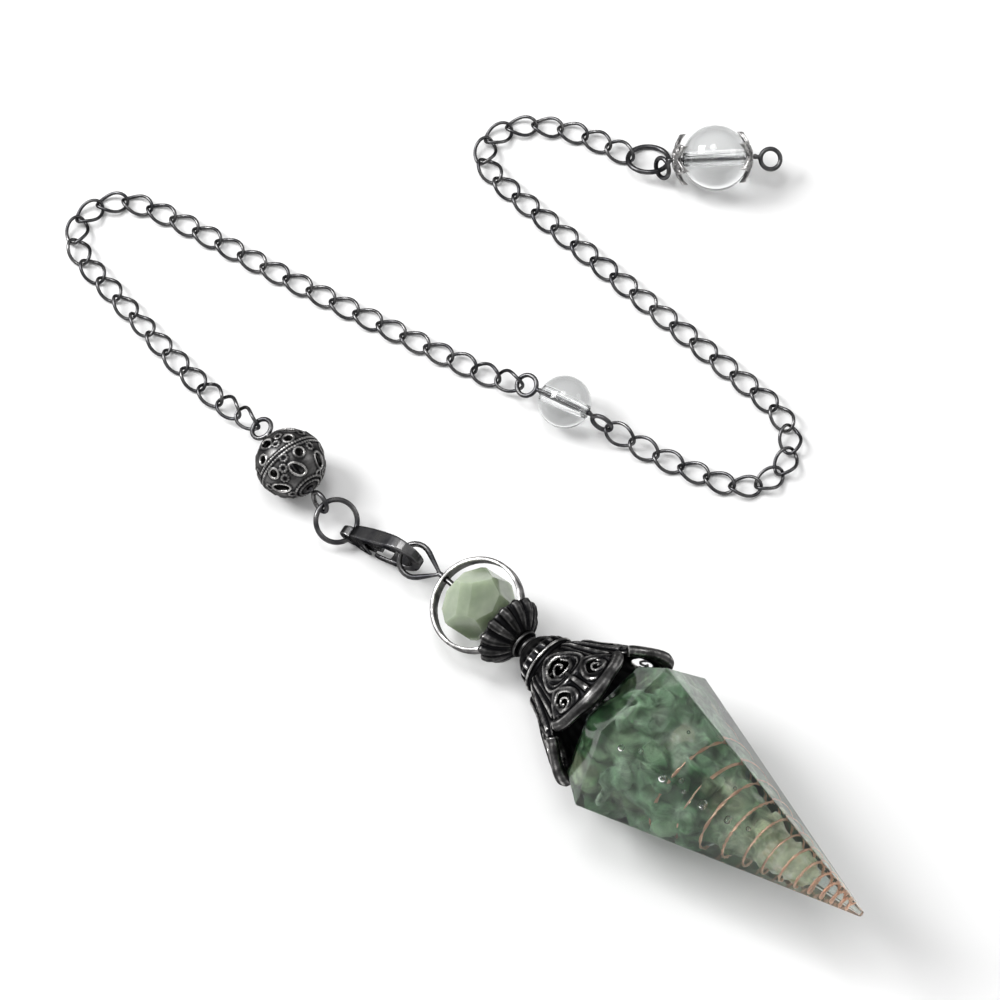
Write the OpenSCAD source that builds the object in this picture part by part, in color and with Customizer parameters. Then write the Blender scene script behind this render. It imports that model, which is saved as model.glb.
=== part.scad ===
// Dowsing pendulum laid out on a table: a faceted resin point with stone chips and a copper coil,
// its filigree cap, hoop and bead, a lobster clasp, and a curb chain with three round beads.
// Millimetres, +Z up, X to the right, the table at Z = 0.

/* [Resin point] */
// Width of the point across two opposite corners of its girdle
point_across = 20.9; // [19:0.1:23]
// Length from the girdle to the tip
point_len = 32.1; // [26:0.1:40]
// Height of the shoulder above the girdle
shoulder_len = 3.5; // [2.5:0.1:4.5]
// Width of the flat top across two corners
top_across = 16.2; // [14:0.1:17.5]
// Width of the blunted tip
tip_across = 0.7; // [0.4:0.1:1.5]

/* [Copper coil] */
// Thickness of the coil's wire
coil_wire = 0.42; // [0.3:0.02:0.6]
// Turns of the coil
coil_turns = 14; // [8:1:16]
// Distance of the coil's wire behind the faces of the point, at its wide end
coil_cover = 1.6; // [1.2:0.1:2.5]
// Length of the point that the coil fills, from the tip
coil_len = 25; // [18:0.5:25]

/* [Stone chips] */
// Size of a stone chip
chip_size = 2.3; // [1.4:0.1:2.5]

/* [Filigree cap] */
// Length of the petals along the axis
cap_len = 10.1; // [9:0.1:11]
// Radius of the petals' lip
lip_r = 8.6; // [8.2:0.1:8.8]
// Thickness of the petals
cap_wall = 0.6; // [0.4:0.05:0.9]
// Thickness of the raised scroll wire
scroll_wire = 0.5; // [0.4:0.05:0.7]
// Radius of the collar's rim
collar_r = 3.5; // [3:0.1:4]
// Length of the collar
collar_len = 3.2; // [2.6:0.1:3.8]
// Gap between the cap and the flat top of the point
cap_gap = 0.15; // [0.1:0.05:0.4]
// Angle by which the cap and what it carries are glued askew
cap_skew = 1.6; // [0:0.2:2.4]

/* [Hoop and its cup] */
// Length of the turned neck between cap and cup
neck_len = 1.4; // [1.2:0.1:2.2]
// Radius of the neck's flange
neck_r = 1.75; // [1.4:0.05:2]
// Radius of the fluted cup's mouth
cup_r = 3.9; // [3.7:0.1:4.3]
// Depth of the fluted cup
cup_len = 2.9; // [2.6:0.1:3.4]
// Thickness of the cup's floor
cup_floor = 1.6; // [1.2:0.1:1.9]
// Depth of the grooves between the flutes
flute_depth = 0.3; // [0.15:0.05:0.35]
// Number of flutes round the cup
flutes = 14; // [10:1:18]
// Outer radius of the hoop
hoop_r = 5.55; // [5.3:0.05:5.9]
// Thickness of the hoop's band
hoop_wall = 0.5; // [0.4:0.05:0.6]
// Width of the hoop's band
hoop_w = 1.5; // [1.2:0.1:1.8]
// Size of the faceted bead in the hoop
gem_d = 7.5; // [6.8:0.1:7.8]
// Thickness of the eye pin through the whole stack
pin_d = 0.7; // [0.55:0.05:0.8]
// Length of the eye pin's teardrop eye
eye_len = 5.6; // [5.2:0.1:6]
// Width of the eye pin's teardrop eye
eye_w = 4.5; // [4.1:0.1:4.9]
// Depth to which the pin is cast into the point
pin_depth = 4; // [3:0.5:6]

/* [Lobster clasp] */
// Length of the clasp
clasp_len = 11.4; // [11:0.1:12.5]
// Width of the clasp
clasp_w = 5.4; // [5:0.1:5.8]
// Thickness of the clasp's body
clasp_t = 1.6; // [1.5:0.1:1.8]
// Thickness of the hook's arm
hook_w = 1; // [0.8:0.05:1.1]
// Slack of the pendant's eye along the hook
hook_play = 1.4; // [1:0.1:1.8]
// Thickness of the lever
lever_t = 0.8; // [0.6:0.05:1]
// Diameter of the lever's rivet
rivet_d = 0.6; // [0.5:0.05:0.7]
// Diameter of the hole in the clasp's tail
tail_hole = 1.3; // [1.2:0.05:1.4]
// Diameter of the two jump rings
ring_d = 5.5; // [5:0.1:6]
// Wire of the jump rings
ring_wire = 0.6; // [0.5:0.05:0.7]

/* [Beads] */
// Diameter of the pierced filigree bead
filigree_d = 8; // [7.4:0.1:8.6]
// Wall of the filigree bead
filigree_wall = 0.5; // [0.4:0.05:0.8]
// Diameter of the round bead half way along the chain
small_d = 6.2; // [5.6:0.1:6.8]
// Diameter of the round bead at the end
large_d = 7.9; // [7.2:0.1:8.4]
// Bore of the round beads
bore_d = 1.3; // [1.1:0.05:1.6]
// Thickness of the wire pins through the beads
wire_d = 0.55; // [0.45:0.05:0.65]
// Length of a bead pin's loop
loop_len = 3.4; // [3:0.1:3.8]
// Width of a bead pin's loop
loop_w = 3; // [2.8:0.1:3.2]
// Width of the star caps across their points
star_w = 6.2; // [5.4:0.1:6.6]
// Gap by which the inner star cap has slid off its bead
star_slip = 0.7; // [0:0.1:1]
// Wall of the star caps
star_wall = 0.35; // [0.3:0.05:0.5]

/* [Chain] */
// Length of a chain link
link_len = 4.2; // [4.1:0.05:4.4]
// Width of a chain link
link_w = 3; // [2.8:0.05:3.2]
// Wire of the chain
link_wire = 0.36; // [0.32:0.02:0.4]

/* [Hidden] */
$fn = 48;

gunmetal = "#55565a";
dark_silver = "#3c3c40";
clear_quartz = "#e6ecef";
slack = 0.16;          // free play where two wires hook into each other
fit = 0.06;            // running clearance round a pin
knot = 1.2;            // size of the twist that closes a loop, against its wire

// Directions of a frame whose X points at yaw and pitch, turned by roll about that X
function ahead(yaw, pitch) = [cos(pitch) * cos(yaw), cos(pitch) * sin(yaw), sin(pitch)];
function aside(yaw) = [-sin(yaw), cos(yaw), 0];
function above(yaw, pitch) = [-sin(pitch) * cos(yaw), -sin(pitch) * sin(yaw), cos(pitch)];
function spot(at, yaw, pitch, roll, v) = at + v.x * ahead(yaw, pitch)
    + v.y * (cos(roll) * aside(yaw) + sin(roll) * above(yaw, pitch))
    + v.z * (cos(roll) * above(yaw, pitch) - sin(roll) * aside(yaw));
module put(at, yaw, pitch, roll) {
    translate(at) rotate([0, 0, yaw]) rotate([0, -pitch, 0]) rotate([roll, 0, 0]) children();
}

// The pendant lies on one flat of its girdle and on the lip of the petal underneath
point_r = point_across / 2;
flat_r = point_r * cos(30);
top_r = top_across / 2;
cap_base = shoulder_len + cap_gap + lip_r * sin(cap_skew);
lip_x = cap_base + 1.3;
cap_roll = 15;
rest_r = lip_r * cos(cap_roll);
tilt = atan((flat_r - rest_r) / lip_x);
point_yaw = -43.8;
stack_yaw = point_yaw - cap_skew;
girdle_at = [22.3, -32.1, flat_r * cos(tilt)];

// Stations along the pendant's axis, measured back from the girdle
collar_x = cap_base + cap_len;
neck_x = collar_x + collar_len;
cup_x = neck_x + neck_len;
mouth_x = cup_x + cup_len;
hoop_x = cup_x + cup_floor + fit + hoop_r;
eye_x = hoop_x + hoop_r + fit;

// The pin's eye is bent aside and faces upwards; its far bar sits in the clasp's hook
eye_yaw = stack_yaw + 180 + 13.4;
eye_pitch = -2;
eye_roll = -28;
eye_base = spot(girdle_at, stack_yaw, tilt, 0, [-eye_x - knot * pin_d / 2 - fit, 0, 0]);
eye_bar = eye_base + (eye_len - pin_d / 2) * ahead(eye_yaw, eye_pitch);

// The clasp stands on edge, its tail near the table and its hook in the eye
tail_r = tail_hole / 2 + 0.5;
hook_in_x = clasp_len - hook_w;
clasp_yaw = -32;
clasp_roll = 95;
bar_x = hook_in_x - pin_d / 2 - hook_play;
clasp_pitch = asin((eye_bar.z - tail_r - 0.3) / (bar_x - tail_r));
clasp_at = eye_bar - bar_x * ahead(clasp_yaw, clasp_pitch);
tail_at = spot(clasp_at, clasp_yaw, clasp_pitch, clasp_roll, [tail_r, 0, 0]);

// The clasp's jump ring climbs from the tail to the loop of the filigree bead
ring_r = (ring_d - ring_wire) / 2;
ring_yaw = 142;
ring_pitch = 29.5;
ring_roll = -8;
tail_play = tail_hole / 2 - ring_wire / 2 - slack;
clasp_ring_at = tail_at + (ring_r - tail_play) * ahead(ring_yaw, ring_pitch);
hook_step = ring_wire / 2 + wire_d / 2 + slack;
low_bar = clasp_ring_at + (ring_r - hook_step) * ahead(ring_yaw, ring_pitch);

// The filigree bead rests on the table, its pin pointing at the jump ring
filigree_r = filigree_d / 2;
filigree_neck = filigree_r + fit;
loop_reach = loop_len - wire_d / 2;
filigree_yaw = -54;
low_pitch = asin((low_bar.z - filigree_r) / loop_reach);
filigree_at = low_bar - loop_reach * ahead(filigree_yaw, low_pitch)
    - filigree_neck * ahead(filigree_yaw, 0);
high_yaw = filigree_yaw + 180;
high_pitch = -16;
high_bar = filigree_at + filigree_neck * ahead(high_yaw, 0) + loop_reach * ahead(high_yaw, high_pitch);

// The two clear beads lie on the table where they are dropped
small_r = small_d / 2;
small_neck = small_r + fit;
small_at = [14.4, 13.2, small_r];
small_yaw = -27.5;
small_left_yaw = 149;
small_left_pitch = -12;
small_right_yaw = -30;
small_right_pitch = -26;
small_left_bar = small_at - small_neck * ahead(small_yaw, 0) + loop_reach * ahead(small_left_yaw, small_left_pitch);
small_right_bar = small_at + small_neck * ahead(small_yaw, 0)
    + loop_reach * ahead(small_right_yaw, small_right_pitch);
large_r = large_d / 2;
large_at = [32.6, 45.8, large_r];
large_yaw = 3;
large_out_yaw = -2;
large_out_pitch = -14;
star_gap = 0.08;
large_neck = large_r + star_gap + star_wall + knot * wire_d / 2 + fit;

// The inner loop hangs down and holds the near side of the end ring off the table; the ring's far
// side rests on it, and the chain's last link takes its left side
large_in_yaw = 180;
large_in_pitch = -65;
end_hook = large_at - (large_neck + star_slip) * ahead(large_yaw, 0)
    + (loop_reach - hook_step) * ahead(large_in_yaw, large_in_pitch);
end_turn = 35;
end_yaw = 90;
end_pitch = -asin((end_hook.z - ring_wire / 2) / ring_r / (1 + cos(end_turn)));
end_ring_at = end_hook + ring_r * (cos(end_turn) * ahead(end_yaw, end_pitch) + sin(end_turn) * aside(end_yaw));
end_side = aside(end_yaw - 5);
end_link = end_ring_at + (ring_r - link_wire / 2 - ring_wire / 2 - 1.5 * slack) * end_side;

// Curb links: the two ends of each are turned half a right angle either way
link_a = (link_len - link_wire) / 2;
link_b = (link_w - link_wire) / 2;
link_turn = 45;
link_slack = 0.24;     // free play between two links
link_rest = link_b * 0.4 + link_wire / 2;
pitch_len = link_len - 2 * link_wire - link_slack;
hook_gap = link_wire / 2 + wire_d / 2 + slack;

// The chain's course on the table: from the filigree bead to the small bead, then to the end
lower_stops = [[-27, 15.6], [-34.8, 24.3], [-40.6, 31.4], [-43, 34.2], [-44, 37.4], [-42.5, 40.4],
    [-39.9, 41.7], [-36.9, 41.7], [-30.7, 38.6], [-17.2, 30.5], [4.2, 18.6]];
upper_stops = [[26, 6.8], [30.6, 4.8], [34.6, 3.1], [38.4, 4.2], [40.6, 7.6], [40.7, 10.8], [39.3, 13.3],
    [36.7, 15.9], [27.3, 24.9], [15.5, 36.2], [6.3, 45.1], [4.6, 47.9], [5.9, 51.1], [8.6, 52.4],
    [11.8, 52.5], [16.7, 51.2]];
// Links that lie turned on their side: a link's number, counted back from the end if negative, and its roll
lower_turned = [[0, -58], [1, -38], [2, -18], [5, 9], [6, 18], [7, 9], [-3, 14], [-2, 30],
    [-1, 50]];
upper_turned = [[0, 36], [1, 24], [2, 11], [-3, 8], [-2, 18], [-1, 30]];

function on_table(stops) = [for (p = stops) [p.x, p.y, link_rest]];
function bend(a, b, c, d, t) = 0.5 * (2 * b + (c - a) * t + (2 * a - 5 * b + 4 * c - d) * t * t
    + (3 * b - a - 3 * c + d) * t * t * t);
bend_steps = 8;
function course(p) = let (n = len(p)) concat([for (i = [0 : n - 2], k = [0 : bend_steps - 1])
    let (t = k / bend_steps, q = bend(i == 0 ? 2 * p[0] - p[1] : p[i - 1], p[i], p[i + 1],
        i == n - 2 ? 2 * p[n - 1] - p[n - 2] : p[i + 2], t))
    [q.x, q.y, p[i].z + (p[i + 1].z - p[i].z) * t]], [p[n - 1]]);
function run_lengths(c) = [for (i = 0, s = 0; i < len(c);
    s = s + (i + 1 < len(c) ? norm(c[i + 1] - c[i]) : 0), i = i + 1) s];
function place_on(c, s, d) = [for (k = [0 : 2]) lookup(d, [for (i = [0 : len(c) - 1]) [s[i], c[i][k]]])];

// A round wire as a tube: middles, a direction across the wire at each, closed to a loop or not
function unit(v) = v / norm(v);
function tube_points(c, across, r, sides, closed) = let (n = len(c)) [for (i = [0 : n - 1])
    let (after = c[closed ? (i + 1) % n : min(i + 1, n - 1)],
        before = c[closed ? (i + n - 1) % n : max(i - 1, 0)],
        t = unit(after - before), u = unit(cross(t, across[i])), v = cross(u, t))
    for (k = [0 : sides - 1]) c[i] + r * (cos(360 * k / sides) * u + sin(360 * k / sides) * v)];
function tube_faces(n, sides, closed) = concat([for (i = [0 : n - (closed ? 1 : 2)], k = [0 : sides - 1])
    let (j = (i + 1) % n, m = (k + 1) % sides)
    each [[i * sides + k, i * sides + m, j * sides + m], [i * sides + k, j * sides + m, j * sides + k]]],
    closed ? [] : [[for (k = [sides - 1 : -1 : 0]) k], [for (k = [0 : sides - 1]) (n - 1) * sides + k]]);
module tube(c, across, d, sides, closed) {
    polyhedron(tube_points(c, across, d / 2, sides, closed), tube_faces(len(c), sides, closed));
}

link_sides = 5;
link_steps = 12;
link_round = [for (i = [0 : link_steps - 1]) 360 * i / link_steps];
link_line = [for (t = link_round) let (w = link_turn * cos(t))
    [link_a * cos(t), link_b * sin(t) * cos(w), link_b * sin(t) * sin(w)]];
module chain_link() {
    tube(link_line, [for (t = link_round) let (w = link_turn * cos(t)) [0, -sin(w), cos(w)]],
        link_wire, link_sides, true);
}

// Links laid along a course whose first and last points are the middles of the end links' bars
module chain(stops, turned) {
    c = course(stops);
    s = run_lengths(c);
    total = s[len(s) - 1];
    count = round((total - 2 * link_a) / pitch_len);

    step = (total - 2 * link_a) / count;
    for (i = [0 : count]) {
        a = place_on(c, s, i * step);
        b = place_on(c, s, i * step + 2 * link_a);
        d = b - a;
        yaw = atan2(d.y, d.x);
        pitch = asin(d.z / norm(d));
        listed = [for (r = turned) if (r[0] == i || r[0] == i - count - 1) r[1]];
        roll = len(listed) > 0 ? listed[0] : 0;
        low = min([for (p = link_line) spot([0, 0, 0], yaw, pitch, roll, p).z]) - link_wire / 2;
        mid = (a + b) / 2;
        put([mid.x, mid.y, max(mid.z, -low)], yaw, pitch, roll) chain_link();
    }
}

// A teardrop eye of wire along +X from the origin, in the XY plane
eye_steps = 16;
eye_sides = 8;
module wire_eye(length, width, d) {
    r = (width - d) / 2;
    mid = length - d / 2 - r;
    lean = asin(r / mid);
    line = concat([[0, 0, 0]], [for (i = [0 : eye_steps]) let (a = (90 + lean) * (2 * i / eye_steps - 1))
        [mid + r * cos(a), r * sin(a), 0]]);
    tube(line, [for (p = line) [0, 0, 1]], d, eye_sides, true);
}

// A round loop of wire on a short neck along +X from the origin, in the XY plane
module round_loop() {
    r = (loop_w - wire_d) / 2;
    mid = loop_len - loop_w / 2;
    translate([mid, 0, 0]) rotate_extrude() translate([r, 0]) circle(d = wire_d);
    along_x(0, mid - r, 0.9 * wire_d);
    sphere(d = knot * wire_d);
}

// A straight pin through a bead, with a loop at each end that droops on its own
module bead_pin(at, yaw, back, front, back_loop, front_loop) {
    put(at, yaw, 0, 0) along_x(-back, front, wire_d);
    put(at - back * ahead(yaw, 0), back_loop[0], back_loop[1], back_loop[2]) round_loop();
    put(at + front * ahead(yaw, 0), front_loop[0], front_loop[1], front_loop[2]) round_loop();
}

// Frames of the resin point and of the stack that is pinned to it, both at the girdle
module in_point() { put(girdle_at, point_yaw, tilt, 0) children(); }
module in_stack(x, roll) { put(girdle_at, stack_yaw, tilt, roll) translate([-x, 0, 0]) children(); }
module along_x(x0, x1, d) { translate([x0, 0, 0]) rotate([0, 90, 0]) cylinder(d = d, h = x1 - x0); }

module resin_point() {
    color("#5f8f76", 0.8) difference() {
        in_point() rotate([0, 90, 0]) rotate([0, 0, 30]) rotate_extrude($fn = 6)
            polygon([[0, -shoulder_len], [top_r, -shoulder_len], [point_r, 0], [tip_across / 2, point_len],
                [0, point_len]]);
        in_stack(0, 0) along_x(-shoulder_len - 1, pin_depth - shoulder_len + fit, pin_d + 2 * fit);
    }
}

// The coil is a cone of wire that opens towards the girdle; its turns crowd together at the tip
coil_sides = 4;
coil_steps = 10;
coil_start = 0.045;    // share of the point's length from the tip to the coil's first turn
coil_even = 0.55;      // share of the coil's length that its turns would take at an even pitch
function coil_back(t) = point_len * coil_start
    + (coil_len - point_len * coil_start) * (coil_even * t + (1 - coil_even) * t * t);
function coil_reach(back) = flat_r * back / point_len * (1 - coil_cover / (flat_r * coil_len / point_len));
module copper_coil() {
    n = floor(coil_turns * coil_steps);
    turn = [for (i = [0 : n]) [360 * i / coil_steps, coil_back(i / n)]];
    color("#b87350") in_point()
        tube([for (p = turn) [point_len - p[1], coil_reach(p[1]) * cos(p[0]), coil_reach(p[1]) * sin(p[0])]],
            [for (p = turn) [1, 0, 0]], coil_wire, coil_sides, false);
}

// Rough chips of stone in rings, layer by layer; each is a box with its corners knocked about
module chip(seed) {
    shake = rands(-0.16, 0.16, 24, seed);
    turn = rands(0, 360, 3, seed + 500);
    half = chip_size / 2 * 0.47;
    corners = [for (i = [0 : 7]) half * [((i % 2) * 2 - 1) + shake[3 * i],
        ((floor(i / 2) % 2) * 2 - 1) + shake[3 * i + 1], (floor(i / 4) * 2 - 1) + shake[3 * i + 2]]];
    sides = [[0, 1, 3, 2], [4, 6, 7, 5], [0, 4, 5, 1], [2, 3, 7, 6], [0, 2, 6, 4], [1, 5, 7, 3]];
    rotate(turn) polyhedron(corners, [for (f = sides) each [[f[0], f[1], f[2]], [f[0], f[2], f[3]]]]);
}
module stone_chips() {
    layer = chip_size * 1.5;
    first = -shoulder_len + chip_size * 0.75;
    layers = floor(point_len * 0.6 / layer);
    color("#3f7a5c") in_point() for (k = [0 : layers]) {
        x = first + k * layer;
        wide = x < 0 ? flat_r + (flat_r - top_r * cos(30)) * x / shoulder_len : flat_r * (1 - x / point_len);
        free = x + layer < point_len - coil_len ? wide : coil_reach(point_len - x - layer) - coil_wire / 2;
        for (ring = [0 : 2]) {
            r = free - chip_size * 0.75 - ring * chip_size * 1.4;
            count = floor(2 * PI * r / (chip_size * 1.45));
            if (r > (x < pin_depth ? chip_size * 0.8 : chip_size * 0.4) && count > 1)
                for (i = [0 : count - 1]) rotate([360 * (i + 0.5 * (k % 2)) / count, 0, 0])
                    translate([x, r, 0]) chip(100 * k + 30 * ring + i);
        }
    }
}

// The cap's four petals flare from the collar; a column of the table is a station and its radius,
// both as shares of the petals' length and of the lip's radius
cap_shape = [[0, 0.37], [0.16, 0.53], [0.36, 0.65], [0.6, 0.81], [0.82, 0.96], [1, 1]];
petals = 4;
petal_steps = 8;
notch = 0.3;           // depth of the gap between two petals, as a share of their length
lip_roll = 0.8;        // thickness of the rolled lip
rest_reach = rest_r - lip_roll * 0.55;
function petal_end(off) = let (v = abs(off) / (180 / petals)) 1 - notch * v * v * v;
function cap_spot(u, a, lift) = let (r = lip_r * lookup(u, cap_shape), low = -cos(a - cap_roll),
    kept = (low > 0.5 ? min(r, rest_reach / low) : r) + lift * 0.85)
    [cap_len * u + lift * 0.5 - collar_x, kept * sin(a), kept * cos(a)];
function outward(p) = unit([0.5, p.y / norm([p.y, p.z]), p.z / norm([p.y, p.z])]);
module petal_shell() {
    rows = len(cap_shape);
    cols = petals * petal_steps;
    points = [for (lift = [0, -cap_wall], j = [0 : cols - 1], i = [0 : rows - 1])
        let (off = 360 / petals * (j % petal_steps) / petal_steps)
        cap_spot(cap_shape[i][0] * petal_end(min(off, 360 / petals - off)), 360 * j / cols, lift)];
    function id(side, j, i) = (side * cols + j % cols) * rows + i;
    function quad(a, b, c, d) = [[a, b, c], [a, c, d]];
    faces = [for (j = [0 : cols - 1]) each concat(
        [for (i = [0 : rows - 2]) each concat(quad(id(0, j, i), id(0, j + 1, i), id(0, j + 1, i + 1), id(0, j, i + 1)),
            quad(id(1, j, i), id(1, j, i + 1), id(1, j + 1, i + 1), id(1, j + 1, i)))],
        quad(id(0, j, 0), id(1, j, 0), id(1, j + 1, 0), id(0, j + 1, 0)),
        quad(id(0, j, rows - 1), id(0, j + 1, rows - 1), id(1, j + 1, rows - 1), id(1, j, rows - 1)))];
    polyhedron(points, faces);
}

// A scroll is a raised teardrop of wire round a window: [station, degrees off the petal's middle, length, width]
scrolls = [[0.34, 0, 0.37, 0.34], [0.7, 18, 0.32, 0.28], [0.7, -18, 0.32, 0.28]];
scroll_steps = 8;
function drop_line(t) = [-cos(t) / 2, sin(t) * (1 + 0.45 * cos(t)) / 2];
function scroll_line(s, mid, t, size) = let (p = drop_line(t))
    cap_spot(s[0] + p.x * s[2] * size, mid + s[1] + p.y * s[3] * size * cap_len
        / (lip_r * lookup(s[0], cap_shape)) * 180 / PI, 0);
module scroll_window(s, mid) {
    n = scroll_steps;
    c = [for (i = [0 : n - 1]) scroll_line(s, mid, 360 * i / n, 0.85)];
    polyhedron(concat([for (p = c) p + 1.2 * outward(p)], [for (p = c) p - 1.2 * outward(p)]),
        concat([for (i = [1 : n - 2]) [0, i, i + 1]], [for (i = [1 : n - 2]) [n, n + i + 1, n + i]],
            [for (i = [0 : n - 1]) each [[i, n + i, n + (i + 1) % n], [i, n + (i + 1) % n, (i + 1) % n]]]));
}
module scroll(s, mid) {
    ring = [for (i = [0 : scroll_steps - 1]) scroll_line(s, mid, 360 * i / scroll_steps, 0.95)];
    tube(ring, [for (p = ring) outward(p)], scroll_wire, 4, true);
}
module rolled_lip(mid, side) {
    for (i = [0, 1]) hull() for (j = [i, i + 1]) let (a = side * j * 19)
        translate(cap_spot(petal_end(a), mid + a, -cap_wall / 2)) rotate([0, 90, 0]) sphere(d = lip_roll, $fn = 5);
}
module filigree_cap() {
    collar = [[0, 0.3], [0.02, 0.93], [0.16, 1], [0.26, 0.93], [0.5, 0.88], [0.8, 0.7], [1, 0.55], [1, 0.3]];
    color(dark_silver) in_stack(0, cap_roll) difference() {
        union() {
            difference() {
                petal_shell();
                for (k = [0 : petals - 1], s = scrolls) scroll_window(s, 360 * k / petals);
            }
            for (k = [0 : petals - 1]) {
                for (s = scrolls) scroll(s, 360 * k / petals);
                for (side = [-1, 1]) rolled_lip(360 * k / petals, side);
            }
            translate([0.2 - collar_x, 0, 0]) rotate([0, -90, 0]) rotate_extrude($fn = 18)
                polygon([for (p = collar) [p[1] * collar_r, p[0] * (collar_len + 0.2 - fit)]]);
        }
        along_x(-neck_x - 1, 1 - cap_base, pin_d + 2 * fit);
    }
}

module neck_spool() {
    turned = [[0, 0.62], [0.16, 0.8], [0.4, 0.8], [0.5, 0.64], [0.66, 0.64], [0.72, 1], [1, 1]];
    color(dark_silver) in_stack(neck_x, 0) rotate([0, -90, 0]) difference() {
        translate([0, 0, fit]) rotate_extrude()
            polygon(concat([[0, 0]], [for (p = turned) [p[1] * neck_r, p[0] * (neck_len - 2 * fit)]],
                [[0, neck_len - 2 * fit]]));
        translate([0, 0, -1]) cylinder(d = pin_d + 2 * fit, h = neck_len + 2);
    }
}

module fluted_cup() {
    bowl = [[0, 0.42], [0.08, 0.52], [0.28, 0.7], [0.52, 0.87], [0.75, 0.97], [0.9, 1], [1, 0.98]];
    color(dark_silver) in_stack(cup_x, 0) rotate([0, -90, 0]) difference() {
        rotate_extrude() polygon(concat([[0, 0]], [for (p = bowl) [p[1] * cup_r, p[0] * cup_len]], [[0, cup_len]]));
        translate([0, 0, cup_floor + fit + hoop_r]) sphere(r = hoop_r + fit);
        translate([0, 0, -1]) cylinder(d = pin_d + 2 * fit, h = cup_len + 2);
        for (k = [0 : flutes - 1]) rotate([0, 0, 360 * k / flutes])
            translate([cup_r * 0.66, 0, 0]) rotate([0, 26, 0])
            translate([flute_depth * 0.6, 0, -1]) cylinder(r = 0.32, h = cup_len * 0.92 + 1);
    }
}

hoop_roll = 21.4;      // turns the hoop's face up towards the eye
module hoop_ring() {
    edge = hoop_w / 2;
    dip = hoop_wall * 0.3;
    color(dark_silver) in_stack(hoop_x, hoop_roll) difference() {
        rotate_extrude() polygon([[hoop_r - hoop_wall, -edge], [hoop_r - dip, -edge], [hoop_r, -edge * 0.75],
            [hoop_r, -edge * 0.45], [hoop_r - dip, -edge * 0.3], [hoop_r, -edge * 0.15], [hoop_r, edge * 0.15],
            [hoop_r - dip, edge * 0.3], [hoop_r, edge * 0.45], [hoop_r, edge * 0.75], [hoop_r - dip, edge],
            [hoop_r - hoop_wall, edge]]);
        along_x(-hoop_r - 1, hoop_r + 1, pin_d + 2 * fit);
    }
}

// The bead has a flat at each end and two staggered rings of facets
gem_slip = 0.2;        // the bead hangs to one side on its pin
gem_bore = pin_d + 2 * gem_slip + 2 * fit;
module facet(turn, rise, reach) {
    rotate([turn, 0, 0]) rotate([0, 0, rise]) translate([reach, -gem_d, -gem_d]) cube(2 * gem_d);
}
module faceted_bead() {
    color("#a3b397") in_stack(hoop_x, hoop_roll + 8) translate([0, gem_slip, 0]) difference() {
        cube(gem_d, center = true);
        for (k = [0 : 4]) {
            facet(72 * k, 62, gem_d * 0.475);
            facet(72 * k + 36, 118, gem_d * 0.475);
        }
        for (k = [0 : 4]) {
            facet(72 * k + 36, 24, gem_d * 0.48);
            facet(72 * k, 156, gem_d * 0.48);
        }
        along_x(-gem_d, gem_d, gem_bore);
    }
}

module pendant_eye_pin() {
    color(gunmetal) union() {
        in_stack(0, 0) along_x(-eye_x - knot * pin_d / 2 - fit, pin_depth - shoulder_len, pin_d);
        put(eye_base, eye_yaw, eye_pitch, eye_roll) wire_eye(eye_len, eye_w, pin_d);
    }
}

// The clasp lies along X from its tail, its gate on the -Y side, its thickness along Z
hook_r = clasp_w / 2;
hook_x = clasp_len - hook_r;
cheek_r = hook_r * 0.7;
pivot = [2 * tail_r + 0.75, -cheek_r * 0.42];
cheek_x = pivot.x + 0.4;
lever_root = rivet_d / 2 + 0.45;
gate_x = pivot.x + lever_root + 0.05;
tip_x = clasp_len * 0.44;
tip_r = hook_w / 2;
tip_inset = 0.04;
inner_x = cheek_x + cheek_r * 0.75;
inner_r = hook_r * 0.42;
lever_play = 0.1;
function half_width(x) = cheek_r + (hook_r - cheek_r) * (x - cheek_x) / (hook_x - cheek_x);
egg_steps = 14;
module egg(x0, r0, x1, r1) {
    a = acos((r0 - r1) / (x1 - x0));
    polygon(concat([for (i = [0 : egg_steps]) let (b = a + (360 - 2 * a) * i / egg_steps)
        [x0 + r0 * cos(b), r0 * sin(b)]], [for (i = [0 : egg_steps]) let (b = a * (2 * i / egg_steps - 1))
        [x1 + r1 * cos(b), r1 * sin(b)]]));
}
module in_clasp() { put(clasp_at, clasp_yaw, clasp_pitch, clasp_roll) children(); }
module clasp_body() {
    slot = lever_t + 2 * lever_play;
    color(gunmetal) in_clasp() difference() {
        linear_extrude(height = clasp_t, center = true) difference() {
            union() {
                difference() {
                    egg(cheek_x, cheek_r, hook_x, hook_r);
                    egg(inner_x, inner_r, hook_x, hook_r - hook_w);
                    polygon([[gate_x, -inner_r * 0.3], [tip_x, -inner_r * 0.3], [tip_x, -clasp_w], [gate_x, -clasp_w]]);
                }
                translate([tip_x, tip_r - half_width(tip_x) + tip_inset]) circle(r = tip_r);
                translate([tail_r, 0]) circle(r = tail_r);
                translate([tail_r, -0.7 * tail_r]) square([cheek_x - tail_r, 1.4 * tail_r]);
            }
            translate([tail_r, 0]) circle(d = tail_hole);
        }
        translate([pivot.x - lever_root - lever_play, -clasp_w, -slot / 2])
            cube([clasp_len * 0.4, clasp_w + pivot.y + lever_root + lever_play, slot]);
        translate([pivot.x, pivot.y, -clasp_t]) cylinder(d = rivet_d + 0.04, h = 2 * clasp_t);
    }
}
module clasp_rivet() {
    color(gunmetal) in_clasp() translate([pivot.x, pivot.y, 0]) cylinder(d = rivet_d, h = clasp_t + 0.2, center = true);
}
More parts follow.
